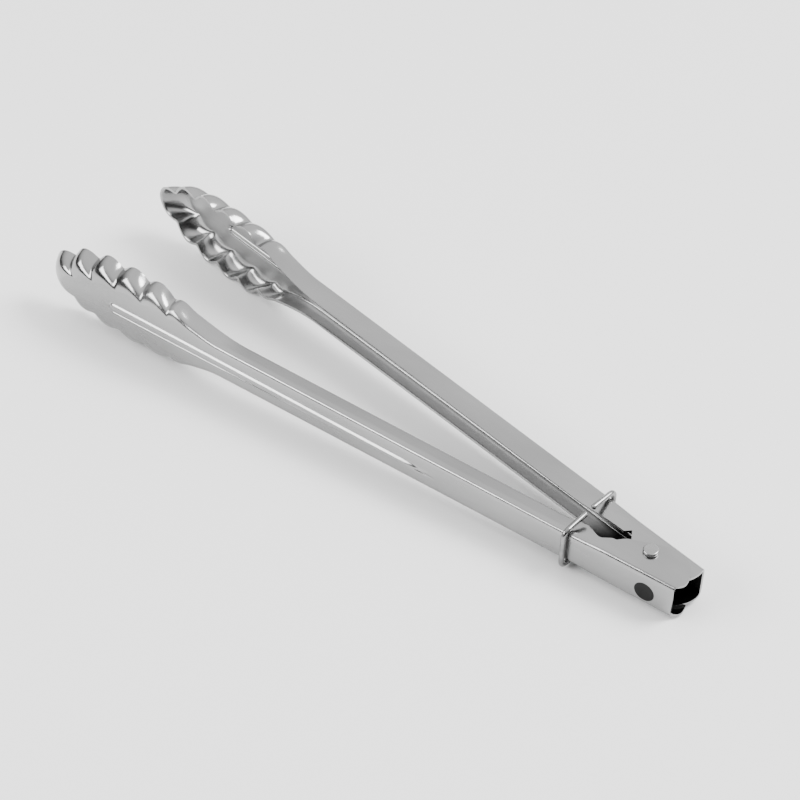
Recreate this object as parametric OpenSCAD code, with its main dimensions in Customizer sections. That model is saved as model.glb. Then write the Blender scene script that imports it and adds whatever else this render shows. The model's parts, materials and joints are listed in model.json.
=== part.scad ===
// Spring loaded kitchen tongs with a sliding wire lock ring.
// The tongs lie on a flat surface: pivot end towards +X, heads towards -X,
// the near arm on the -Y side and the far arm on the +Y side.
// Arm coordinates: s runs from the rivet to the head, w from the rivet to the web, z along the rivet.

/* [Arms] */
// Distance from the rivet to the tip of the head
tip_s = 286.6; // [281:0.1:300]
// Distance from the rivet axis to the outer face of each web
web_w = 10.3; // [9.5:0.1:11.5]
// Distance from the rivet plane to the free edges of the channel
edge_w = 1.1; // [0.6:0.1:2]
// Half height of the channel at the rivet
channel_half = 7.5; // [7:0.1:8]
// Growth of the half height along the channel
channel_growth = 1.1; // [0:0.1:1.5]
// How far each flange leans in towards its free edge
flange_lean = 2.7; // [0:0.1:3]
// Thickness of the sheet
sheet = 1; // [0.8:0.1:1.2]
// Angle of each arm from the centre line when open
half_angle = 5.66; // [4:0.01:8]

/* [Heads] */
// Half height of the flat patch in the middle of the head
patch_half = 11; // [8:0.5:12]
// Half height of the rim of the head
rim_half = 16; // [14:0.01:18]
// Distance between two flutes along the rim
flute_pitch = 13.6; // [12:0.1:16]
// Height of the flutes at the rim
flute_height = 1.9; // [0.6:0.1:2.2]

/* [Pivot] */
// Radius of the rivet's shank
rivet_r = 2; // [1.5:0.1:2.5]
// Radius of the rivet's heads
rivet_head_r = 3; // [2.8:0.05:4]
// Height of the rivet's heads
rivet_head_h = 1.5; // [1:0.1:2]
// Radial clearance between the shank and the far arm
running_gap = 0.06; // [0.02:0.01:0.1]
// Outer half height of the near arm's ears
near_ear_half = 8.15; // [8.1:0.05:8.3]
// Clearance between an ear and the ear beside it
ear_gap = 0.1; // [0.05:0.01:0.15]

/* [Spring] */
// Diameter of the spring wire
spring_wire = 1.2; // [0.8:0.1:1.4]
// Mean radius of the coil
coil_r = 3.4; // [3.1:0.1:4]
// Number of turns of the coil
coil_turns = 4.5; // [3.5:1:5.5]
// Length of each leg
leg_s = 40; // [30:1:60]

/* [Lock ring] */
// Diameter of the ring's wire
ring_wire = 2.1; // [1.8:0.1:2.4]
// Distance from the rivet to the ring
ring_s = 28.5; // [28:0.5:31]
// Half width of the ring at the middle of its wire
ring_half_w = 15.05; // [15:0.05:15.4]
// Height of the ring's bars above the rivet's middle
ring_bar_z = 9.1; // [9:0.1:9.6]
// Rise of the open ends towards each other
ring_rise = 0.5; // [0:0.1:0.8]
// Gap between the ring's two ends
ring_gap = 4.8; // [2:0.1:8]

/* [Hidden] */

// The tongs lie on the rims of their heads and on the lock ring
lie_angle = 1.9;
pivot_x = 133.42;
pivot_z = 9.81;

far_ear_half = near_ear_half - sheet - ear_gap;

// Ear outline: an arc about ear_arc, and a straight edge that runs back into the channel
ear_r = 11.9;
ear_arc = [-6.6, 5.6];
ear_tangent_angle = 290;
ear_tangent = ear_arc + ear_r * [cos(ear_tangent_angle), sin(ear_tangent_angle)];
ear_back_s = 14;
ear_flat_s = 12;
ear_blend_s = 28;
lean_full_s = 40;
// The half height grows over this length, and the corners stand out by this share of the lean
growth_s = 220;
corner_share = 0.1;

// Reliefs in the flanges of each arm, as [-s, -w]
far_relief = [[-16.4, 1.6], [-15.6, 0.6], [-12.5, -3.6], [-8.2, 1], [-8.2, 4], [-16.4, 4]];
near_relief = [
    [-26.4, -0.6],
    [-21.4, -3.7],
    [-18.5, -4.7],
    [-14.8, -2.6],
    [-13.1, -2.5],
    [-11.4, -0.6],
    [-8.9, 1.3],
    [-8.9, 4],
    [-26.4, 4]
];

// Head: the shoulder, then the rows that fan out round the tip
shoulder_s = 190;
patch_grow_s = [194, 222];
rim_grow_s = [186, 240];
fillet_grow_s = [195, 240];
bowl_grow_s = [194, 228];
flute_grow_s = [210, 224];
turn_reach = 37;
rim_turn_s = tip_s - turn_reach;
patch_turn_s = rim_turn_s - 10;
centre_reach = 18;
rim_power = 1.2;
channel_fillet = 2.2;
head_fillet = 5;
// How much of the head's wall is one round bend
bowl = 0.85;
// How far the patch lags behind the rim at the sides and at the tip
lag_grow_s = [190, 230];
side_lag = 3.3;
tip_lag = 10;
// Way that the wall leans in plan where the tip starts, and way that the flutes push at the shoulder
turn_lean = 30;
shoulder_push = -0.17;
// The flute nearest the tip, and how far the flutes reach into the bend and the rim
flute_from_tip = 29.2;
bend_push = 0.4;
edge_push = 0.95;

// Number of rows and columns in each arm's sheet
BLEND_ROWS = 4;
CHANNEL_ROWS = 6;
row_bunching = 1.6;
SIDE_ROWS = 22;
TIP_ROWS = 9;
WEB_COLS = 2;
BEND_COLS = 3;
FLANGE_COLS = 3;

// Spring and ring sweeps
SPRING_SIDES = 8;
TURN_STEPS = 14;
LEG_STEPS = 8;
RING_SIDES = 10;
CORNER_STEPS = 5;
ring_corner_r = 3;
coil_pitch_ratio = 1.12;
leg_gap = 0.2;
rivet_round_r = 0.5;
// Reference ways for the two sweeps, never along their paths
spring_up = [0.02, 0.03, 1];
ring_up = [1, 0, 0];

function mix(a, b, t) = a + (b - a) * t;
function ease(a, b, x) = let (t = min(max((x - a) / (b - a), 0), 1)) t * t * (3 - 2 * t);
function unit(v) = v / norm(v);

// ---- One row of the sheet ----
// [centre, patch edge, corner, rim, w of the rim, flute push, bowl], with the points as [s, z]

// Half height of the channel or the ear at s
function half_at(s, ear_half) =
    mix(ear_half, channel_half + channel_growth * s / growth_s, ease(ear_flat_s, ear_blend_s, s));

// Free edge of the channel at s, as a w value: it runs on from the straight edge of the ears
function free_edge(s) =
    mix(ear_tangent[1], edge_w, min(1, (s - ear_tangent[0]) / (ear_back_s - ear_tangent[0])));

function straight_row(s, ear_half) =
    let (half = half_at(s, ear_half), lean = flange_lean * ease(ear_back_s, lean_full_s, s))
    [
        [s, 0],
        [s, half - channel_fillet],
        [s, half + lean * corner_share],
        [s, half - lean],
        free_edge(s),
        [0, 0],
        0
    ];

function flute(s) =
    cos(360 * (s - tip_s + flute_from_tip) / flute_pitch) * ease(flute_grow_s[0], flute_grow_s[1], s);

// A head row: lean is the way from the patch to the corner, and push the way of the flutes
function head_row(centre, patch, rim, fillet, lean, push) = [
    centre,
    patch,
    patch + fillet * [sin(lean), cos(lean)],
    rim,
    edge_w,
    unit(push) * flute_height * flute(rim[0]),
    bowl * ease(bowl_grow_s[0], bowl_grow_s[1], rim[0])
];

// Edge of the flat patch, which is round at the tip
function patch_at(s) =
    let (
        half = channel_half + channel_growth * shoulder_s / growth_s,
        turned = min(max((s - patch_turn_s) / turn_reach, 0), 1),
        side = mix(half - channel_fillet, patch_half, ease(patch_grow_s[0], patch_grow_s[1], s))
    )
    [s, side * sqrt(1 - turned * turned)];

function side_row(t) =
    let (
        rim_s = mix(shoulder_s, rim_turn_s, t),
        patch = patch_at(rim_s - side_lag * ease(lag_grow_s[0], lag_grow_s[1], rim_s)),
        half = channel_half + channel_growth * shoulder_s / growth_s,
        rim_z = mix(half - flange_lean, rim_half, ease(rim_grow_s[0], rim_grow_s[1], rim_s)),
        fillet = mix(
            channel_fillet + flange_lean * corner_share,
            head_fillet,
            ease(fillet_grow_s[0], fillet_grow_s[1], rim_s)
        )
    )
    head_row([patch[0], 0], patch, [rim_s, rim_z], fillet, turn_lean * t, [shoulder_push * (1 - t), 1]);

function tip_row(t) =
    let (
        angle = 90 * t,
        rim = [rim_turn_s + turn_reach * sin(angle), rim_half * pow(cos(angle), rim_power)],
        patch = patch_at(rim[0] - mix(side_lag, tip_lag, pow(sin(angle), 2))),
        centre = [rim_turn_s - side_lag + centre_reach * sin(angle), 0]
    )
    head_row(
        centre,
        patch,
        rim,
        head_fillet,
        mix(turn_lean, 90, t),
        [rim_half * sin(angle), turn_reach * cos(angle)]
    );

// ---- The section through one row, from the middle of the web to the rim ----

function bezier(a, b, c, t) = a * pow(1 - t, 2) + b * 2 * t * (1 - t) + c * pow(t, 2);

// inset is 0 on the outer face and the sheet's thickness on the inner face
function half_section(row, inset) =
    let (
        top = web_w - inset,
        out = unit(row[2] - row[1]),
        patch = [row[1][0], top, row[1][1]],
        corner_sz = row[2] - out * inset,
        rim_sz = row[3] - out * inset,
        corner = [corner_sz[0], top, corner_sz[1]],
        rim = [rim_sz[0], row[4], rim_sz[1]],
        short_end = corner + unit(rim - corner) * norm(corner - patch),
        bend_end = mix(short_end, rim, row[6]),
        push = [row[5][0], 0, row[5][1]]
    )
    [
        for (i = [0 : WEB_COLS - 1]) mix([row[0][0], top, 0], patch, i / WEB_COLS),
        for (i = [0 : BEND_COLS - 1])
            let (f = i / BEND_COLS)
            bezier(patch, corner, bend_end, f) + push * mix(bend_push, edge_push, f),
        for (i = [0 : FLANGE_COLS])
            let (f = i / FLANGE_COLS)
            mix(bend_end, rim, f) + push * mix(edge_push, 1, f)
    ];

function whole_section(row, inset) =
    let (half = half_section(row, inset), last = len(half) - 1)
    [
        for (i = [last : -1 : 1]) [-half[i][0], -half[i][1], -half[i][2]],
        for (p = half) [-p[0], -p[1], p[2]]
    ];

function arm_rows(ear_half) = [
    for (i = [0 : BLEND_ROWS]) straight_row(mix(ear_flat_s, ear_blend_s, i / BLEND_ROWS), ear_half),
    for (i = [1 : CHANNEL_ROWS])
        straight_row(mix(ear_blend_s, shoulder_s, pow(i / (CHANNEL_ROWS + 1), row_bunching)), ear_half),
    for (i = [0 : SIDE_ROWS - 1]) side_row(i / SIDE_ROWS),
    for (i = [0 : TIP_ROWS]) tip_row(i / TIP_ROWS)
];

// The channel and the head, from where the flat ears end
module arm_sheet(ear_half) {
    rows = arm_rows(ear_half);
    cols = 2 * (WEB_COLS + BEND_COLS + FLANGE_COLS) + 1;
    last_row = len(rows) - 1;
    points = [
        for (inset = [0, sheet]) for (row = rows) each whole_section(row, inset)
    ];
    // The last row folds onto itself along the middle of the tip
    function at(face, i, j) =
        face * len(rows) * cols + i * cols + (i == last_row ? max(j, cols - 1 - j) : j);
    // A quad split along one diagonal below the middle of the web and along the other above it
    function quad(a, b, c, d, j) = j < cols / 2 - 1 ? [[a, b, c], [a, c, d]] : [[a, b, d], [b, c, d]];
    triangles = [
        for (i = [0 : last_row - 1]) for (j = [0 : cols - 2])
            each quad(at(0, i, j), at(0, i, j + 1), at(0, i + 1, j + 1), at(0, i + 1, j), j),
        for (i = [0 : last_row - 1]) for (j = [0 : cols - 2])
            for (t = quad(at(1, i, j), at(1, i, j + 1), at(1, i + 1, j + 1), at(1, i + 1, j), j))
                [t[2], t[1], t[0]],
        for (i = [0 : last_row - 1])
            each quad(at(0, i, 0), at(0, i + 1, 0), at(1, i + 1, 0), at(1, i, 0), 0),
        for (i = [0 : last_row - 1])
            let (j = cols - 1)
            each quad(at(0, i, j), at(1, i, j), at(1, i + 1, j), at(0, i + 1, j), 0),
        for (j = [0 : cols - 2])
            each quad(at(0, 0, j), at(1, 0, j), at(1, 0, j + 1), at(0, 0, j + 1), 0)
    ];
    faces = [for (t = triangles) if (t[0] != t[1] && t[1] != t[2] && t[2] != t[0]) [t[2], t[1], t[0]]];
    polyhedron(points, faces);
}

// The flat ears and the web between them, with the same bends as the channel that they run into
module ears(ear_half) {
    row = straight_row(ear_flat_s, ear_half);
    deep_row = [row[0], row[1], row[2], row[3], ear_arc[1] - ear_r - 1, row[5], row[6]];
    outer = whole_section(deep_row, 0);
    inner = whole_section(deep_row, sheet);
    profile = [
        for (p = outer) [p[1], p[2]],
        for (i = [len(inner) - 1 : -1 : 0]) [inner[i][1], inner[i][2]]
    ];
    intersection() {
        translate([-ear_flat_s, 0, 0])
            rotate([90, 0, 90])
                linear_extrude(height = 2 * ear_r + ear_flat_s) polygon(profile);
        linear_extrude(height = 4 * near_ear_half, center = true) {
            translate(-ear_arc) circle(r = ear_r, $fn = 96);
            polygon([
                -ear_tangent,
                [-ear_flat_s, -free_edge(ear_flat_s)],
                [-ear_flat_s, -web_w - 1],
                [-ear_arc[0], -web_w - 1]
            ]);
        }
    }
}

module arm(ear_half) {
    ears(ear_half);
    arm_sheet(ear_half);
}

module pivot_bore(r) {
    cylinder(h = 4 * near_ear_half, r = r, center = true, $fn = 64);
}

// Relief cut in the flanges where the channel runs into the ears
module relief(outline) {
    linear_extrude(height = 4 * near_ear_half, center = true) polygon(outline);
}

// Places what is modelled about the rivet where it lies on the surface
module lie() {
    translate([pivot_x, 0, pivot_z]) rotate([0, lie_angle, 0]) children();
}

module near_arm() {
    color("gainsboro")
        lie() rotate([0, 0, half_angle]) difference() {
            arm(near_ear_half);
            pivot_bore(rivet_r);
            relief(near_relief);
        }
}

module far_arm() {
    color("silver")
        lie() rotate([0, 0, -half_angle]) mirror([0, 1, 0]) difference() {
            arm(far_ear_half);
            pivot_bore(rivet_r + running_gap);
            relief(far_relief);
        }
}

module rivet() {
    r = rivet_round_r;
    color("darkgray")
        lie() rotate_extrude($fn = 64) {
            translate([0, -near_ear_half]) square([rivet_r, 2 * near_ear_half]);
            for (turned = [0, 1])
                mirror([0, turned]) translate([0, near_ear_half]) {
                    square([rivet_head_r, rivet_head_h - r]);
                    square([rivet_head_r - r, rivet_head_h]);
                    translate([rivet_head_r - r, rivet_head_h - r]) circle(r = r, $fn = 32);
                }
        }
}

// ---- Wires: a round section swept along a list of points ----

function tangent(path, i) = unit(path[min(i + 1, len(path) - 1)] - path[max(i - 1, 0)]);

module wire(path, r, sides, up) {
    points = [
        for (i = [0 : len(path) - 1])
            let (t = tangent(path, i), a = unit(cross(t, up)), b = cross(t, a))
            for (k = [0 : sides - 1])
                path[i] + r * (a * cos(360 * k / sides) + b * sin(360 * k / sides))
    ];
    last = len(path) - 1;
    faces = [
        for (i = [0 : last - 1]) for (k = [0 : sides - 1])
            let (n = (k + 1) % sides)
            each [
                [i * sides + k, i * sides + n, (i + 1) * sides + n],
                [i * sides + k, (i + 1) * sides + n, (i + 1) * sides + k]
            ],
        [for (k = [sides - 1 : -1 : 0]) k],
        [for (k = [0 : sides - 1]) last * sides + k]
    ];
    polyhedron(points, faces);
}

module torsion_spring() {
    pitch = spring_wire * coil_pitch_ratio;
    coil_half = coil_turns * pitch / 2;
    leg_w = web_w - sheet - spring_wire / 2 - leg_gap;
    steps = coil_turns * TURN_STEPS;
    // A leg runs from the side of the coil to the web of its arm; side is -1 for the near arm
    function leg_point(side, f) =
        let (w = mix(coil_r, leg_w, ease(0, 1, f)), s = leg_s * f, a = half_angle)
        [w * sin(a) - s * cos(a), side * (w * cos(a) + s * sin(a)), side * coil_half];
    path = [
        for (i = [LEG_STEPS : -1 : 1]) leg_point(-1, i / LEG_STEPS),
        for (i = [0 : steps])
            let (angle = -90 + 360 * i / TURN_STEPS)
            [coil_r * cos(angle), coil_r * sin(angle), mix(-coil_half, coil_half, i / steps)],
        for (i = [1 : LEG_STEPS]) leg_point(1, i / LEG_STEPS)
    ];
    color("dimgray")
        lie() wire(path, spring_wire / 2, SPRING_SIDES, spring_up);
}

module lock_ring() {
    r = ring_corner_r;
    y = ring_half_w;
    z = ring_bar_z;
    // Half of the ring from the middle of its lower bar up the side to its open end
    half = [
        [0, -z],
        for (i = [0 : CORNER_STEPS])
            let (a = 90 * i / CORNER_STEPS)
            [y - r + r * sin(a), -z + r - r * cos(a)],
        for (i = [0 : CORNER_STEPS])
            let (a = 90 * i / CORNER_STEPS)
            [y - r + r * cos(a), z - r + r * sin(a)],
        [ring_gap / 2, z + ring_rise]
    ];
    path = [
        for (i = [len(half) - 1 : -1 : 1]) [-ring_s, -half[i][0], half[i][1]],
        for (p = half) [-ring_s, p[0], p[1]]
    ];
    color("slategray")
        lie() wire(path, ring_wire / 2, RING_SIDES, ring_up);
}

near_arm();
far_arm();
rivet();
torsion_spring();
lock_ring();
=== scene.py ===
"""Spring loaded kitchen tongs: stamped steel arms, rivet, torsion spring and wire lock ring."""

import json
import math

import bmesh
import bpy
from mathutils import Matrix, Vector

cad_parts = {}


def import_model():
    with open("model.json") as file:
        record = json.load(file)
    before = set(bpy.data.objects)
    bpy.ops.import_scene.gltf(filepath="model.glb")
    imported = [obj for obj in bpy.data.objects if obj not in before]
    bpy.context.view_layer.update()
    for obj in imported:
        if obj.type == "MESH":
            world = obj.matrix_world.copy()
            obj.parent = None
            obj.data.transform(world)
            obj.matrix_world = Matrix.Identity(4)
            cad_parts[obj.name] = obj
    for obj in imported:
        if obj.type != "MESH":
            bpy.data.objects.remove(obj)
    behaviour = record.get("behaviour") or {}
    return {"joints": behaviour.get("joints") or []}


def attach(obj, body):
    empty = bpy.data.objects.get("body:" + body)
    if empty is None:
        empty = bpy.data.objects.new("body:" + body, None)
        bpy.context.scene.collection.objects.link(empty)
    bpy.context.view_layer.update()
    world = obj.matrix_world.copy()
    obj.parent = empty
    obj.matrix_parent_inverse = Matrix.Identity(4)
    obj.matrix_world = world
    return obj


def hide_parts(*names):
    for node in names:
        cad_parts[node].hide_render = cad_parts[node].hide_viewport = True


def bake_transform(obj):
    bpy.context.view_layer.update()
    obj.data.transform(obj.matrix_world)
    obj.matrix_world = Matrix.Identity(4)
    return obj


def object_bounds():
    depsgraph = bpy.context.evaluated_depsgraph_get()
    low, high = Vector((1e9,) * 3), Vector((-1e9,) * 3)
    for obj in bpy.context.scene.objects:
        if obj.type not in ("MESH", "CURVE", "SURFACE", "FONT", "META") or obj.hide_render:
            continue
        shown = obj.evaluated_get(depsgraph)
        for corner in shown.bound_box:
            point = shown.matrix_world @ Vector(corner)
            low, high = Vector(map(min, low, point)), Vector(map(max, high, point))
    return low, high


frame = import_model()
cad_low, cad_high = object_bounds()

MM = 0.001
joint = {j["name"]: j for j in frame["joints"]}["squeeze"]
PIVOT = Vector(joint["pos_m"])
AXIS = Vector(joint["axis"]).normalized()
LIE = Matrix.Translation(PIVOT) @ Vector((0, 0, 1)).rotation_difference(AXIS).to_matrix().to_4x4()

# Sizes in millimetres, as in the CAD model
TIP_S = 286.6
WEB_W = 10.3
EDGE_W = 1.1
CHANNEL_HALF = 7.5
CHANNEL_GROWTH = 1.1
FLANGE_LEAN = 2.7
SHEET = 1.0
HALF_ANGLE = math.radians(5.66)
PATCH_HALF = 10.6
RIM_HALF = 16.0
FLUTE_PITCH = 13.6
FLUTE_HEIGHT = 1.9
BOWL = 0.85
WALL_SLOPE = 0.25
CHANNEL_FILLET = 3.0
HEAD_FILLET = 6.5
RIVET_R = 2.0
RIVET_HEAD_R = 3.0
RIVET_HEAD_H = 1.5
NEAR_EAR_HALF = 8.15
FAR_EAR_HALF = 7.05
SPRING_WIRE = 1.2
COIL_R = 3.4
COIL_TURNS = 4.5
COIL_PITCH_RATIO = 1.12
LEG_GAP = 0.2
LEG_S = 40.0
RING_WIRE = 2.1
RING_S = 28.5
RING_HALF_W = 15.05
RING_BAR_Z = 9.1
RING_RISE = 0.5
RING_GAP = 4.8
RING_CORNER_R = 3.0

EAR_R = 11.9
EAR_ARC = (-6.6, 5.6)
EAR_TANGENT = math.radians(290)
EAR_END = math.radians(214)
EAR_BACK_S = 14.0
END_TUCK = 1.6
EAR_FLAT_S = 12.0
EAR_BLEND_S = 28.0
LEAN_FULL_S = 40.0
SHOULDER_S = 190.0
TURN_REACH = 37.0
RIM_TURN_S = TIP_S - TURN_REACH
PATCH_TURN_S = RIM_TURN_S - 10
CENTRE_REACH = 18.0
SIDE_LAG = 3.3
TIP_LAG = 10.0
TURN_LEAN = 30.0
# How the scallops push: the slant at the shoulder, then the share at the bend and beyond it
SHOULDER_PUSH = -0.17
BEND_PUSH = 0.4
EDGE_PUSH = 0.95
RIM_POWER = 1.2
CORNER_SHARE = 0.1
GROWTH_S = 220.0
SHOULDER_HALF = CHANNEL_HALF + CHANNEL_GROWTH * SHOULDER_S / GROWTH_S

# The embossed bead along the middle of each web
BEAD_FROM_S = 92.0
BEAD_TO_S = 252.0
BEAD_HALF_NARROW = 1.8
BEAD_HALF_WIDE = 3.0
BEAD_HEIGHT = 0.9
BEAD_EDGE = 1.3
BEAD_GROOVE = 0.6
BEAD_TAPER = 14.0
GROOVE_AT = 0.42
GROOVE_WIDTH = 0.45

# ---------------------------------------------------------------- shape rules

def mix(a, b, t):
    return a + (b - a) * t


def ease(a, b, x):
    t = min(max((x - a) / (b - a), 0.0), 1.0)
    return t * t * (3 - 2 * t)


def half_at(s, ear_half):
    return mix(ear_half, CHANNEL_HALF + CHANNEL_GROWTH * s / GROWTH_S, ease(EAR_FLAT_S, EAR_BLEND_S, s))


TANGENT_S = EAR_ARC[0] + EAR_R * math.cos(EAR_TANGENT)
TANGENT_W = EAR_ARC[1] + EAR_R * math.sin(EAR_TANGENT)
# Reliefs in the flanges, as (s, w) from the ear back to the channel
NEAR_RELIEF = ((8.9, -1.3), (11.4, 0.6), (13.1, 2.5), (14.8, 2.6), (16.8, 3.8), (18.5, 4.7), (19.6, 4.6),
               (21.4, 3.7), (24.0, 2.1), (26.4, 0.6))
FAR_RELIEF = ((8.5, -1.2), (12.5, 3.6), (15.6, -0.6))


def free_edge(s, relief):
    """Where the flange ends, as a w value."""
    edge = mix(TANGENT_W, EDGE_W, min(1.0, (s - TANGENT_S) / (EAR_BACK_S - TANGENT_S)))
    for (s0, w0), (s1, w1) in zip(relief, relief[1:]):
        if s0 < s <= s1:
            edge = max(edge, mix(w0, w1, (s - s0) / (s1 - s0)))
    return edge


def flute(s):
    """Scallops along the rim: broad lobes with sharp valleys, from -1 to 1."""
    x = math.pi * (s - TIP_S + 29.2) / FLUTE_PITCH
    lobes = 2 * math.sqrt(math.cos(x) ** 2 + 0.015) - 1.015
    return lobes * ease(SHOULDER_S + 20, SHOULDER_S + 34, s)


def straight_row(s, ear_half, relief):
    half = half_at(s, ear_half)
    lean = FLANGE_LEAN * ease(EAR_BACK_S, LEAN_FULL_S, s)
    return {
        "centre": (s, 0.0), "patch": (s, half - CHANNEL_FILLET), "corner": (s, half + lean * CORNER_SHARE),
        "rim": (s, half - lean), "rim_w": free_edge(s, relief), "wave": 0.0, "way": (0, 1),
        "bowl": 0.0, "end": 0.0,
    }


def arc_s(w):
    """The round end of the ears, as an s value."""
    return EAR_ARC[0] - math.sqrt(max(0.0, EAR_R ** 2 - (w - EAR_ARC[1]) ** 2))


def end_row(t, ear_half):
    """Rows that fan round the end of the ears."""
    angle = mix(EAR_END, EAR_TANGENT, t)
    tuck = END_TUCK if ear_half == NEAR_EAR_HALF else 0.0
    web_s = mix(arc_s(WEB_W) + tuck, TANGENT_S, t)
    return {
        "centre": (web_s, 0.0), "patch": (web_s, ear_half - CHANNEL_FILLET), "corner": (web_s, ear_half),
        "rim": (EAR_ARC[0] + EAR_R * math.cos(angle), ear_half),
        "rim_w": EAR_ARC[1] + EAR_R * math.sin(angle), "wave": 0.0, "way": (0, 1),
        "bowl": 0.0, "end": (1 - t) ** 2, "tuck": tuck,
    }


def head_row(centre, patch, rim, fillet, out, wave_way):
    """out runs from the flat patch to the corner; wave_way is the way the scallops push."""
    corner = Vector(patch) + Vector(out).normalized() * fillet
    return {
        "centre": centre, "patch": patch, "corner": tuple(corner), "rim": rim, "rim_w": EDGE_W,
        "wave": FLUTE_HEIGHT * flute(rim[0]), "way": tuple(Vector(wave_way).normalized()),
        "bowl": BOWL * ease(SHOULDER_S + 4, SHOULDER_S + 38, rim[0]), "end": 0.0,
    }


def patch_at(s):
    """Edge of the flat patch, which is round at the tip."""
    turned = min(max((s - PATCH_TURN_S) / TURN_REACH, 0.0), 1.0)
    side = mix(SHOULDER_HALF - CHANNEL_FILLET, PATCH_HALF, ease(SHOULDER_S + 4, SHOULDER_S + 32, s))
    return s, side * math.sqrt(1 - turned * turned)


def lean_way(degrees):
    return math.sin(math.radians(degrees)), math.cos(math.radians(degrees))


def side_row(t):
    rim_s = mix(SHOULDER_S, RIM_TURN_S, t)
    patch = patch_at(rim_s - SIDE_LAG * ease(SHOULDER_S, SHOULDER_S + 40, rim_s))
    rim_z = mix(SHOULDER_HALF - FLANGE_LEAN, RIM_HALF, ease(SHOULDER_S - 4, SHOULDER_S + 50, rim_s))
    fillet = mix(CHANNEL_FILLET + FLANGE_LEAN * CORNER_SHARE, HEAD_FILLET,
                 ease(SHOULDER_S + 5, SHOULDER_S + 50, rim_s))
    return head_row((patch[0], 0.0), patch, (rim_s, rim_z), fillet, lean_way(TURN_LEAN * t),
                    (SHOULDER_PUSH * (1 - t), 1))


def tip_row(t):
    angle = math.pi / 2 * t
    rim = (RIM_TURN_S + TURN_REACH * math.sin(angle), RIM_HALF * max(math.cos(angle), 0.0) ** RIM_POWER)
    patch = patch_at(rim[0] - mix(SIDE_LAG, TIP_LAG, math.sin(angle) ** 2))
    centre = (RIM_TURN_S - SIDE_LAG + CENTRE_REACH * math.sin(angle), 0.0)
    return head_row(centre, patch, rim, HEAD_FILLET, lean_way(mix(TURN_LEAN, 90, t)),
                    (RIM_HALF * math.sin(angle), TURN_REACH * math.cos(angle)))


def bead_half(s):
    """Half width of the bead, which widens towards the head."""
    return mix(BEAD_HALF_NARROW, BEAD_HALF_WIDE, ease(BEAD_FROM_S, BEAD_TO_S - 10, s))


def bead(s, z):
    """Height of the embossed bead over the web at s, z: a flat-topped bar with a groove below its middle."""
    half = bead_half(s)
    # Both ends are round in plan
    past = max(0.0, s - (BEAD_TO_S - half), (BEAD_FROM_S + BEAD_TAPER - s) * half / BEAD_TAPER)
    reach = math.hypot(past, z) if past else abs(z)
    height = BEAD_HEIGHT * ease(half, half - BEAD_EDGE, reach)
    across = (z + GROOVE_AT * half) / GROOVE_WIDTH
    groove = math.exp(-across ** 2) * ease(half + 0.2, half - 0.6, math.hypot(past, 0.5 * z))
    return height - BEAD_GROOVE * groove


# ---------------------------------------------------------------- arms

WEB_COLS = 44
BEND_COLS = 16
FLANGE_COLS = 10


def arm_rows(ear_half, relief):
    end_rows, side_rows, tip_rows = 22, 120, 70
    rows = [end_row(i / end_rows, ear_half) for i in range(end_rows)]
    s = TANGENT_S
    while s < SHOULDER_S - 0.6:
        rows.append(straight_row(s, ear_half, relief))
        s += 0.35 if s < 18 else 1.2 if s < 60 else 2.4
    rows += [side_row(i / side_rows) for i in range(side_rows)]
    rows += [tip_row(i / tip_rows) for i in range(tip_rows + 1)]
    return rows


def face_of(bm, verts, flip=False):
    """One face, leaving out corners that fall together."""
    corners = []
    for v in verts:
        if v not in corners:
            corners.append(v)
    if len(corners) > 2:
        bm.faces.new(corners[::-1] if flip else corners)


def half_section(row):
    """Outer face of the upper half of one row, from the middle of the web to the rim, as (s, w, z)."""
    patch, corner, rim = Vector(row["patch"]), Vector(row["corner"]), Vector(row["rim"])
    drop = WALL_SLOPE * row["bowl"] * (corner - patch).length
    corner3 = Vector((corner[0], WEB_W - drop, corner[1]))
    rim3 = Vector((rim[0], row["rim_w"], rim[1]))
    patch3 = Vector((patch[0], WEB_W, patch[1]))
    centre3 = Vector((row["centre"][0], WEB_W, 0.0))
    bend_end = corner3 + (rim3 - corner3).normalized() * (corner - patch).length
    bend_end = bend_end.lerp(rim3, row["bowl"])
    points, pushes = [], []
    # Half of the web's columns follow the bead
    bead_part = min(1.3 * bead_half(patch[0]) / max(patch[1], 0.01), 0.6)
    for i in range(WEB_COLS):
        f = 2 * i / WEB_COLS
        f = f * bead_part if f < 1 else mix(bead_part, 1.0, f - 1)
        points.append(centre3.lerp(patch3, f))
        pushes.append(BEND_PUSH * ease(0.6, 1.0, f))
    for i in range(BEND_COLS):
        f = i / BEND_COLS
        points.append(patch3 * (1 - f) ** 2 + corner3 * 2 * f * (1 - f) + bend_end * f ** 2)
        pushes.append(mix(BEND_PUSH, EDGE_PUSH, f ** 0.8))
    for i in range(FLANGE_COLS + 1):
        f = i / FLANGE_COLS
        points.append(bend_end.lerp(rim3, f))
        pushes.append(mix(EDGE_PUSH, 1.0, f))
    section = []
    for p, push in zip(points, pushes):
        s, w, z = p
        if row["end"]:
            s = mix(s, arc_s(w) + row["tuck"] * ease(6, WEB_W, w), row["end"])
        s += row["way"][0] * row["wave"] * push
        z += row["way"][1] * row["wave"] * push
        section.append((s, w, z))
    return section


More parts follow.
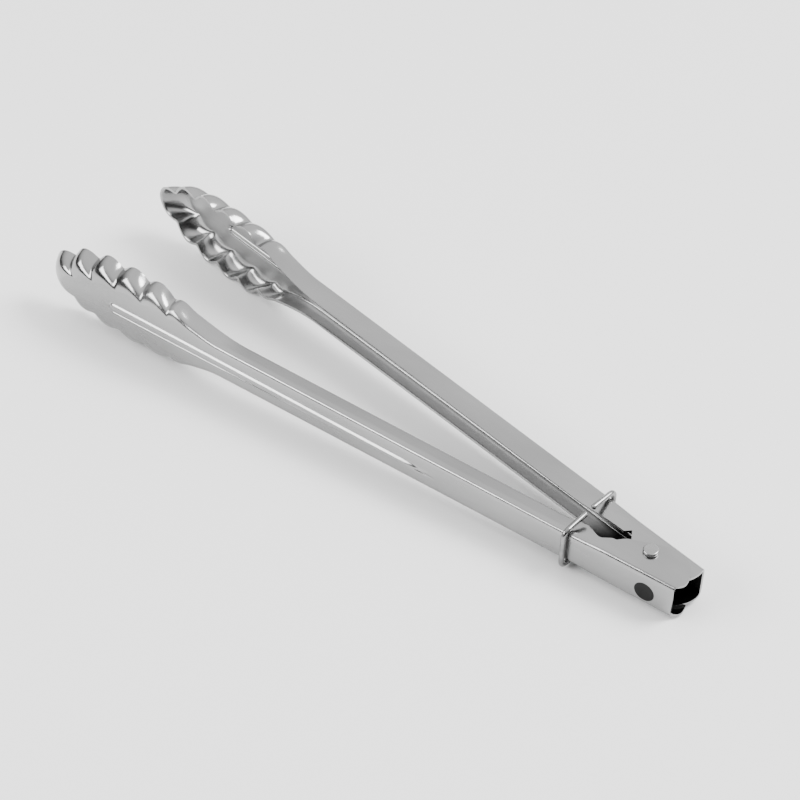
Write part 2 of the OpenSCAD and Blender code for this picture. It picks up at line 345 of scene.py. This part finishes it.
def arm_mesh(name, side, ear_half, relief, outside, inside):
    """side is -1 for the near arm and 1 for the far arm; outside and inside are its materials."""
    rows = [half_section(r) for r in arm_rows(ear_half, relief)]
    half_cols = len(rows[0])
    cols = 2 * half_cols - 1
    bm = bmesh.new()
    grid = []
    for i, row in enumerate(rows):
        line = [None] * cols
        for j in range(cols):
            k = j - (half_cols - 1)
            if i == len(rows) - 1 and k < 0:
                continue
            s, w, z = row[abs(k)]
            z = z if k >= 0 else -z
            if abs(k) <= WEB_COLS:
                w += bead(s, z)
            line[j] = bm.verts.new((-s * MM, side * w * MM, z * MM))
        grid.append(line)
    last = grid[-1]
    for j in range(half_cols - 1):
        last[j] = last[cols - 1 - j]
    for a, b in zip(grid, grid[1:]):
        for j in range(cols - 1):
            face_of(bm, (a[j], a[j + 1], b[j + 1], b[j]), flip=side > 0)
    mesh = bpy.data.meshes.new(name)
    bm.to_mesh(mesh)
    bm.free()
    mesh.materials.append(outside)
    mesh.materials.append(inside)
    obj = bpy.data.objects.new(name, mesh)
    bpy.context.collection.objects.link(obj)
    place = LIE @ Matrix.Rotation(-side * HALF_ANGLE, 4, "Z")
    mesh.transform(place)
    solid = obj.modifiers.new("sheet", "SOLIDIFY")
    solid.thickness = SHEET * MM
    solid.offset = -1
    solid.use_even_offset = False
    solid.material_offset = 1
    edge = obj.modifiers.new("edge", "BEVEL")
    edge.width = 0.22 * MM
    edge.segments = 3
    edge.limit_method = "ANGLE"
    edge.angle_limit = math.radians(55)
    bake(obj)
    # The head's edge is trimmed flat at the CAD model's edge, so that closed heads don't cross
    back = place.inverted()
    for v in obj.data.vertices:
        p = back @ v.co
        if p.x < -SHOULDER_S * MM and side * p.y < EDGE_W * MM:
            v.co = place @ Vector((p.x, side * EDGE_W * MM, p.z))
    smooth(obj)
    return obj


def bake(obj):
    """Applies the modifiers, so that the mesh is the final shape."""
    dg = bpy.context.evaluated_depsgraph_get()
    made = bpy.data.meshes.new_from_object(obj.evaluated_get(dg))
    obj.modifiers.clear()
    obj.data = made


def smooth(obj):
    for p in obj.data.polygons:
        p.use_smooth = True


# ---------------------------------------------------------------- wires and rivet

def laid_down(name, bm):
    """An object from bm, which is drawn upright about the rivet, laid down as the tongs lie."""
    bmesh.ops.recalc_face_normals(bm, faces=bm.faces)
    mesh = bpy.data.meshes.new(name)
    bm.to_mesh(mesh)
    bm.free()
    mesh.transform(LIE)
    obj = bpy.data.objects.new(name, mesh)
    bpy.context.collection.objects.link(obj)
    smooth(obj)
    return obj


def sweep(name, path, radius, sides, up):
    """A round wire with rounded ends along path, a list of points in millimetres about the rivet."""
    points = [Vector(p) for p in path]
    radii = [radius] * len(points)
    head, tail = (points[0] - points[1]).normalized(), (points[-1] - points[-2]).normalized()
    caps = 5
    before, after = [], []
    for i in range(1, caps + 1):
        a = math.pi / 2 * i / caps
        size = max(radius * math.cos(a), 0.02)
        before.append((points[0] + head * radius * 0.6 * math.sin(a), size))
        after.append((points[-1] + tail * radius * 0.6 * math.sin(a), size))
    points = [p for p, _ in reversed(before)] + points + [p for p, _ in after]
    radii = [r for _, r in reversed(before)] + radii + [r for _, r in after]
    bm = bmesh.new()
    rings = []
    for i, p in enumerate(points):
        t = (points[min(i + 1, len(points) - 1)] - points[max(i - 1, 0)]).normalized()
        a = t.cross(up).normalized()
        b = t.cross(a)
        ring = []
        for k in range(sides):
            turn = 2 * math.pi * k / sides
            ring.append(bm.verts.new((p + (a * math.cos(turn) + b * math.sin(turn)) * radii[i]) * MM))
        rings.append(ring)
    for r0, r1 in zip(rings, rings[1:]):
        for k in range(sides):
            n = (k + 1) % sides
            bm.faces.new((r0[k], r0[n], r1[n], r1[k]))
    bm.faces.new(rings[0][::-1])
    bm.faces.new(rings[-1])
    return laid_down(name, bm)


def torsion_spring():
    steps_a_turn, leg_steps = 28, 16
    coil_half = COIL_TURNS * SPRING_WIRE * COIL_PITCH_RATIO / 2
    leg_w = WEB_W - SHEET - SPRING_WIRE / 2 - LEG_GAP
    steps = int(COIL_TURNS * steps_a_turn)

    def leg(side, f):
        w, s = mix(COIL_R, leg_w, ease(0, 1, f)), LEG_S * f
        x = w * math.sin(HALF_ANGLE) - s * math.cos(HALF_ANGLE)
        y = side * (w * math.cos(HALF_ANGLE) + s * math.sin(HALF_ANGLE))
        return (x, y, side * coil_half)

    path = [leg(-1, i / leg_steps) for i in range(leg_steps, 0, -1)]
    for i in range(steps + 1):
        a = 2 * math.pi * i / steps_a_turn - math.pi / 2
        path.append((COIL_R * math.cos(a), COIL_R * math.sin(a), mix(-coil_half, coil_half, i / steps)))
    path += [leg(1, i / leg_steps) for i in range(1, leg_steps + 1)]
    obj = sweep("spring_wire", path, SPRING_WIRE / 2, 14, Vector((0.02, 0.03, 1)))
    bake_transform(obj)
    return obj


def lock_ring():
    steps = 10
    r, y, z = RING_CORNER_R, RING_HALF_W, RING_BAR_Z
    half = [(0.0, -z)] + [(y * f, -z) for f in (0.25, 0.5)]
    for i in range(steps + 1):
        a = math.pi / 2 * i / steps
        half.append((y - r + r * math.sin(a), -z + r - r * math.cos(a)))
    half += [(y, mix(-z + r, z - r, f)) for f in (0.33, 0.66)]
    for i in range(steps + 1):
        a = math.pi / 2 * i / steps
        half.append((y - r + r * math.cos(a), z - r + r * math.sin(a)))
    half.append((RING_GAP / 2, z + RING_RISE))
    path = [(-RING_S, -a, b) for a, b in half[:0:-1]] + [(-RING_S, a, b) for a, b in half]
    return sweep("ring_wire", path, RING_WIRE / 2, 24, Vector((1, 0, 0)))


def rivet():
    """A turned shank with two formed heads, flat on top with a rolled rim."""
    steps, sides = 8, 96
    rim, top = RIVET_HEAD_R, NEAR_EAR_HALF + RIVET_HEAD_H
    roll = 0.62
    profile = [(0.0, top - 0.12), (1.1, top - 0.11), (2.0, top - 0.05), (rim - roll - 0.1, top)]
    for i in range(1, steps + 1):
        a = math.pi / 2 * i / steps
        profile.append((rim - roll + roll * math.sin(a), top - roll + roll * math.cos(a)))
    profile += [(rim, NEAR_EAR_HALF + 0.25), (rim - 0.12, NEAR_EAR_HALF + 0.02)]
    profile += [(RIVET_R, NEAR_EAR_HALF), (RIVET_R, 0.0)]
    profile += [(r, -h) for r, h in profile[-2::-1]]
    bm = bmesh.new()
    rings = []
    for r, h in profile:
        if r == 0.0:
            rings.append([bm.verts.new((0, 0, h * MM))])
            continue
        turns = [2 * math.pi * k / sides for k in range(sides)]
        rings.append([bm.verts.new((r * math.cos(a) * MM, r * math.sin(a) * MM, h * MM)) for a in turns])
    for r0, r1 in zip(rings, rings[1:]):
        for k in range(sides):
            n = (k + 1) % sides
            face_of(bm, (r0[k % len(r0)], r0[n % len(r0)], r1[n % len(r1)], r1[k % len(r1)]))
    return laid_down("rivet_body", bm)


# ---------------------------------------------------------------- materials

class Nodes:
    """Short calls for building a material's node tree."""

    def __init__(self, name):
        self.material = bpy.data.materials.new(name)
        self.material.use_nodes = True
        self.tree = self.material.node_tree
        self.shader = self.tree.nodes["Principled BSDF"]

    def add(self, kind, **inputs):
        node = self.tree.nodes.new(kind)
        for key, value in inputs.items():
            node.inputs[key.replace("_", " ")].default_value = value
        return node

    def link(self, a, out, b, into):
        self.tree.links.new(a.outputs[out], b.inputs[into])

    def noise(self, turn, stretch, scale, detail, roughness=0.5):
        """Noise in the object's own space, turned about Z and stretched along the turned X."""
        place = self.tree.nodes.new("ShaderNodeTexCoord")
        turned = self.add("ShaderNodeMapping")
        turned.inputs["Rotation"].default_value = (0, 0, turn)
        turned.inputs["Scale"].default_value = stretch
        noise = self.add("ShaderNodeTexNoise", Scale=scale, Detail=detail, Roughness=roughness)
        self.link(place, "Object", turned, "Vector")
        self.link(turned, "Vector", noise, "Vector")
        return noise

    def spread(self, source, low, high, out_low, out_high):
        ramp = self.add("ShaderNodeMapRange", From_Min=low, From_Max=high, To_Min=out_low, To_Max=out_high)
        self.link(source, "Fac" if "Fac" in source.outputs else 0, ramp, "Value")
        return ramp

    def bump(self, source, strength, distance, before=None):
        bump = self.add("ShaderNodeBump", Strength=strength, Distance=distance)
        self.link(source, "Fac" if "Fac" in source.outputs else 0, bump, "Height")
        if before:
            self.link(before, "Normal", bump, "Normal")
        self.link(bump, "Normal", self.shader, "Normal")
        return bump


def set_ramp(node, shades):
    """shades holds the ramp's (position, grey) pairs."""
    elements = node.color_ramp.elements
    while len(elements) < len(shades):
        elements.new(0.5)
    for element, (at, shade) in zip(elements, shades):
        element.position = at
        element.color = (shade, shade, shade, 1)


def steel(name, light, dark, rough, turn, grain=0.35, mark=None, shade_from=None):
    """Brushed steel: fine grain along the piece, cloudy tone and roughness, and fine specks."""
    n = Nodes(name)
    n.shader.inputs["Metallic"].default_value = 1.0
    grain_noise = n.noise(turn, (14, 900, 900), 1.0, 5.0, 0.6)
    cloud = n.noise(turn, (20, 60, 60), 1.0, 3.0)
    speck = n.noise(0, (1, 1, 1), 900.0, 2.0)
    tone = n.add("ShaderNodeMix")
    tone.data_type = "RGBA"
    tone.inputs["A"].default_value = (*dark, 1)
    tone.inputs["B"].default_value = (*light, 1)
    tone_at = n.spread(cloud, 0.35, 0.65, 0.0, 1.0)
    n.link(tone_at, "Result", tone, "Factor")
    rough_grain = n.spread(grain_noise, 0.3, 0.7, rough * 0.8, rough * 1.25)
    rough_cloud = n.spread(cloud, 0.3, 0.7, -0.03, 0.05)
    add = n.add("ShaderNodeMath")
    n.link(rough_grain, "Result", add, 0)
    n.link(rough_cloud, "Result", add, 1)
    flat = n.add("ShaderNodeMath")
    n.link(add, "Value", flat, 0)
    n.link(flatness(n, turn, FLAT_ROUGH if shade_from is None else INSIDE_ROUGH), "Result", flat, 1)
    n.link(flat, "Value", n.shader, "Roughness")
    colour = tone
    if mark:
        colour = etched_mark(n, tone, *mark)
    if shade_from is not None:
        colour = shaded_inside(n, colour, shade_from)
    n.link(colour, "Result", n.shader, "Base Color")
    fine = n.bump(grain_noise, grain, 0.00004)
    n.bump(speck, 0.12, 0.00005, fine)
    return n.material


# Roughness added to flat faces, outside and inside an arm
FLAT_ROUGH = 0.1
INSIDE_ROUGH = 0.28


def flatness(n, turn, most):
    """Flat faces along the arm keep their mill finish, so they are rougher than its rolled bends."""
    place = n.tree.nodes.new("ShaderNodeTexCoord")
    dot = n.add("ShaderNodeVectorMath")
    dot.operation = "DOT_PRODUCT"
    dot.inputs[1].default_value = Matrix.Rotation(-turn, 3, "Z") @ Vector((0, 1, 0))
    n.link(place, "Normal", dot, 0)
    size = n.add("ShaderNodeMath")
    size.operation = "ABSOLUTE"
    n.link(dot, "Value", size, 0)
    flat = n.add("ShaderNodeMapRange", From_Min=0.93, From_Max=0.99, To_Min=0.0, To_Max=most)
    n.link(size, "Value", flat, "Value")
    return flat


def shaded_inside(n, tone, start):
    """Painted shade: the steel darkens to near black deep inside the pivot end, from start on along X."""
    place = n.tree.nodes.new("ShaderNodeTexCoord")
    split = n.tree.nodes.new("ShaderNodeSeparateXYZ")
    n.link(place, "Object", split, "Vector")
    amount = n.add("ShaderNodeMapRange", From_Min=start, From_Max=start + 0.012, To_Min=0.0, To_Max=0.92)
    n.link(split, "X", amount, "Value")
    # Painted shade: a near-black colour is mixed into the steel where the inside lies in shadow.
    painted_shade = n.add("ShaderNodeMix")
    painted_shade.data_type = "RGBA"
    painted_shade.inputs["B"].default_value = (0.015, 0.015, 0.015, 1)
    n.link(amount, "Result", painted_shade, "Factor")
    n.link(tone, "Result", painted_shade, "A")
    return painted_shade


def etched_mark(n, tone, centre, radius):
    """A plain etched disc, with nothing drawn in it."""
    place = n.tree.nodes.new("ShaderNodeTexCoord")
    offset = n.add("ShaderNodeVectorMath")
    offset.operation = "DISTANCE"
    offset.inputs[1].default_value = centre
    n.link(place, "Object", offset, 0)
    wave = n.tree.nodes.new("ShaderNodeValToRGB")
    wave.color_ramp.interpolation = "EASE"
    set_ramp(wave, ((0.0, 1), (0.96, 1), (1.0, 0)))
    scaled = n.add("ShaderNodeMath")
    scaled.operation = "DIVIDE"
    scaled.inputs[1].default_value = radius
    n.link(offset, "Value", scaled, 0)
    n.link(scaled, "Value", wave, "Fac")
    dark = n.add("ShaderNodeMix")
    dark.data_type = "RGBA"
    dark.inputs["B"].default_value = (0.02, 0.02, 0.02, 1)
    n.link(wave, "Color", dark, "Factor")
    n.link(tone, "Result", dark, "A")
    return dark


def wire_steel(name, light, dark, rough):
    """Drawn wire: fine lines along it, with darker patches."""
    n = Nodes(name)
    n.shader.inputs["Metallic"].default_value = 1.0
    cloud = n.noise(0, (1, 1, 1), 260.0, 4.0)
    scratch = n.noise(0, (1, 1, 1), 1500.0, 2.0)
    tone = n.add("ShaderNodeMix")
    tone.data_type = "RGBA"
    tone.inputs["A"].default_value = (*dark, 1)
    tone.inputs["B"].default_value = (*light, 1)
    n.link(n.spread(cloud, 0.35, 0.65, 0.0, 1.0), "Result", tone, "Factor")
    n.link(tone, "Result", n.shader, "Base Color")
    n.link(n.spread(scratch, 0.3, 0.7, rough * 0.8, rough * 1.4), "Result", n.shader, "Roughness")
    n.bump(scratch, 0.1, 0.00003)
    return n.material


def finish(obj, material, body, slot, *nodes):
    """The arms bring their own materials, and the spring is attached to no body."""
    if material:
        obj.data.materials.append(material)
    if body:
        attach(obj, body)
    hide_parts(*nodes)


# ---------------------------------------------------------------- stage

def floor():
    bpy.ops.mesh.primitive_plane_add(size=6, location=(0, 0, cad_low.z - 0.0002))
    obj = bpy.context.object
    obj.name = "floor"
    n = Nodes("pale_floor")
    n.shader.inputs["Base Color"].default_value = (0.96, 0.96, 0.96, 1)
    n.shader.inputs["Roughness"].default_value = 0.6
    n.shader.inputs["Specular IOR Level"].default_value = 0.2
    obj.data.materials.append(n.material)


def world():
    made = bpy.data.worlds.new("studio")
    bpy.context.scene.world = made
    made.use_nodes = True
    tree = made.node_tree
    place = tree.nodes.new("ShaderNodeTexCoord")
    along = tree.nodes.new("ShaderNodeVectorMath")
    along.operation = "DOT_PRODUCT"
    along.inputs[1].default_value = (-0.04, 0.30, 0.62)
    level = tree.nodes.new("ShaderNodeMath")
    level.operation = "ADD"
    level.inputs[1].default_value = 0.2
    ramp = tree.nodes.new("ShaderNodeValToRGB")
    set_ramp(ramp, ((0.0, 0.02), (0.36, 0.03), (0.46, 0.34), (0.58, 0.66), (0.74, 0.90), (0.85, 0.90)))
    tree.links.new(place.outputs["Generated"], along.inputs[0])
    tree.links.new(along.outputs["Value"], level.inputs[0])
    tree.links.new(level.outputs["Value"], ramp.inputs["Fac"])
    background = tree.nodes["Background"]
    tree.links.new(ramp.outputs["Color"], background.inputs["Color"])
    background.inputs["Strength"].default_value = 2.0


def softbox(name, place, aim, size, power):
    data = bpy.data.lights.new(name, "AREA")
    data.shape = "RECTANGLE"
    data.size, data.size_y = size
    data.energy = power
    obj = bpy.data.objects.new(name, data)
    obj.location = place
    obj.rotation_euler = (Vector(aim) - Vector(place)).to_track_quat("-Z", "Y").to_euler()
    bpy.context.collection.objects.link(obj)


def camera():
    """At the photo's viewing angle."""
    azimuth, elevation, distance = math.radians(41.65), math.radians(42.0), 0.9278
    aim = PIVOT + Vector((-0.1287, 0.00775, 0))
    back = Vector((math.sin(azimuth) * math.cos(elevation), -math.cos(azimuth) * math.cos(elevation),
                   math.sin(elevation)))
    data = bpy.data.cameras.new("camera")
    data.sensor_width = 36
    data.lens = 105.7
    obj = bpy.data.objects.new("camera", data)
    obj.location = aim + back * distance
    obj.rotation_euler = (-back).to_track_quat("-Z", "Y").to_euler()
    bpy.context.collection.objects.link(obj)
    bpy.context.scene.camera = obj


# ---------------------------------------------------------------- build

camera()
floor()
world()
softbox("back_key", (0.85, 0.95, 1.4), (0, 0, 0), (0.85, 0.85), 48)
softbox("front_strip", (-0.75, -1.0, 0.78), (0, 0, 0), (1.3, 0.55), 24)

MARK_S, MARK_Z, MARK_R = -4.5, -1.45, 4.3
mark_place = LIE @ Matrix.Rotation(HALF_ANGLE, 4, "Z") @ Vector((-MARK_S * MM, -WEB_W * MM, MARK_Z * MM))
LIGHT, DARK, ROUGH = (0.35, 0.35, 0.35), (0.30, 0.30, 0.30), 0.18
# The arms' insides get painted shade from here on towards the pivot end.
INSIDE_FROM = PIVOT.x - 0.034
near_out = steel("near_arm_steel", LIGHT, DARK, ROUGH, -HALF_ANGLE, mark=(mark_place, MARK_R * MM))
near_in = steel("near_arm_inside", LIGHT, DARK, ROUGH, -HALF_ANGLE, shade_from=INSIDE_FROM)
far_out = steel("far_arm_steel", LIGHT, DARK, ROUGH, HALF_ANGLE)
far_in = steel("far_arm_inside", LIGHT, DARK, ROUGH, HALF_ANGLE, shade_from=INSIDE_FROM)
rivet_steel = steel("rivet_steel", (0.36, 0.36, 0.36), (0.28, 0.28, 0.28), 0.26, 0.6, grain=0.15)
spring_steel = wire_steel("spring_steel", (0.34, 0.34, 0.34), (0.24, 0.24, 0.24), 0.28)
ring_steel = wire_steel("ring_steel", (0.3, 0.3, 0.3), (0.2, 0.2, 0.2), 0.18)

near = arm_mesh("near_arm_sheet", -1, NEAR_EAR_HALF, NEAR_RELIEF, near_out, near_in)
far = arm_mesh("far_arm_sheet", 1, FAR_EAR_HALF, FAR_RELIEF, far_out, far_in)
finish(near, None, "near_arm", "arm_steel", "near_arm")
finish(far, None, "far_arm", "arm_steel", "far_arm")
finish(rivet(), rivet_steel, "near_arm", "rivet_steel", "rivet")
finish(torsion_spring(), spring_steel, None, "spring_steel", "torsion_spring")
finish(lock_ring(), ring_steel, "lock_ring", "ring_wire", "lock_ring")
